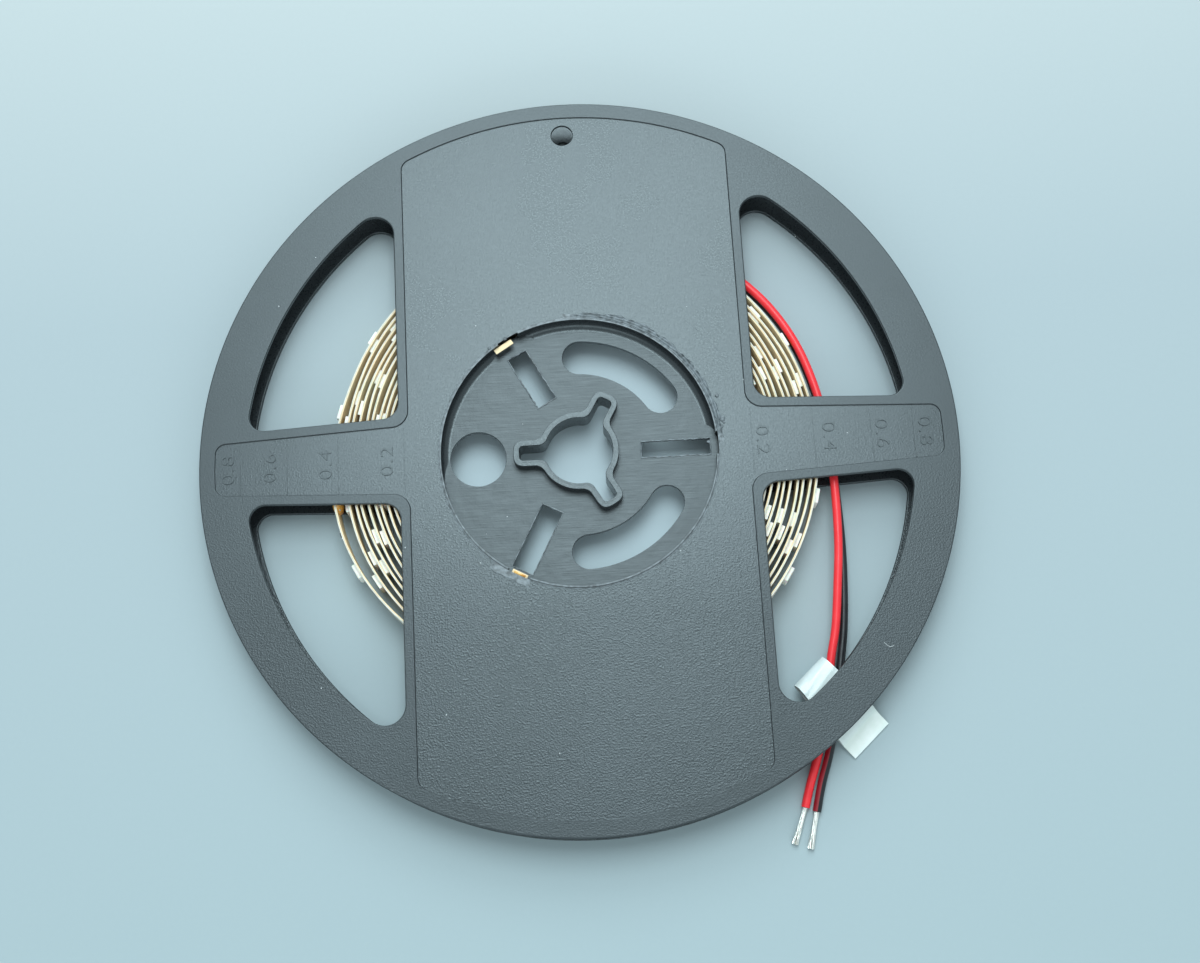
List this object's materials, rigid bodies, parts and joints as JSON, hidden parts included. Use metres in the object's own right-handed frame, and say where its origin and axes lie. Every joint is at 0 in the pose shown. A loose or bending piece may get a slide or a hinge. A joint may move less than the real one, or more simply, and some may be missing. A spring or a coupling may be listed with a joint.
{
  "type": "led strip light reel",
  "caption": "Flat flanged reel with a lobed hub bore, wound with flexible LED strip whose paired leads come out under the rim.",
  "frame": {"origin": "centre of the reel's rear face, which lies on the surface", "axes": "+Z along the reel's axis from the rear flange to the front flange, +Y along the central band towards the small hole, +X along the arm that the leads pass under"},
  "size_m": [0.178, 0.1828, 0.0104],
  "materials": {
    "black_plastic": "satin, fine spark-eroded grain",
    "strip_face": "white coated flexible circuit, tan backing",
    "led_package": "white moulded package",
    "resistor": "matte",
    "copper": "bare pads with solder",
    "solder": "tinned",
    "red_sleeve": "smooth",
    "black_sleeve": "smooth",
    "tape": "slightly translucent film"
  },
  "bodies": {
    "root": {"front_flange": "black_plastic", "rear_half": "black_plastic", "strip_coil": "strip_face", "led_package_01": "led_package", "led_package_02": "led_package", "led_package_03": "led_package", "led_package_04": "led_package", "led_package_05": "led_package", "led_package_06": "led_package", "led_package_07": "led_package", "led_package_08": "led_package", "led_package_09": "led_package", "led_package_10": "led_package", "led_package_11": "led_package", "led_package_12": "led_package", "led_package_13": "led_package", "led_package_14": "led_package", "led_package_15": "led_package", "led_package_16": "led_package", "led_package_17": "led_package", "led_package_18": "led_package", "resistor_1": "resistor", "resistor_2": "resistor", "resistor_3": "resistor", "resistor_4": "resistor", "resistor_5": "resistor", "resistor_6": "resistor", "strip_splice": "copper", "red_solder_joint": "solder", "black_solder_joint": "solder", "red_lead": "red_sleeve", "black_lead": "black_sleeve", "red_conductor": "solder", "black_conductor": "solder", "tape_flag": "tape"}
  },
  "joints": []
}
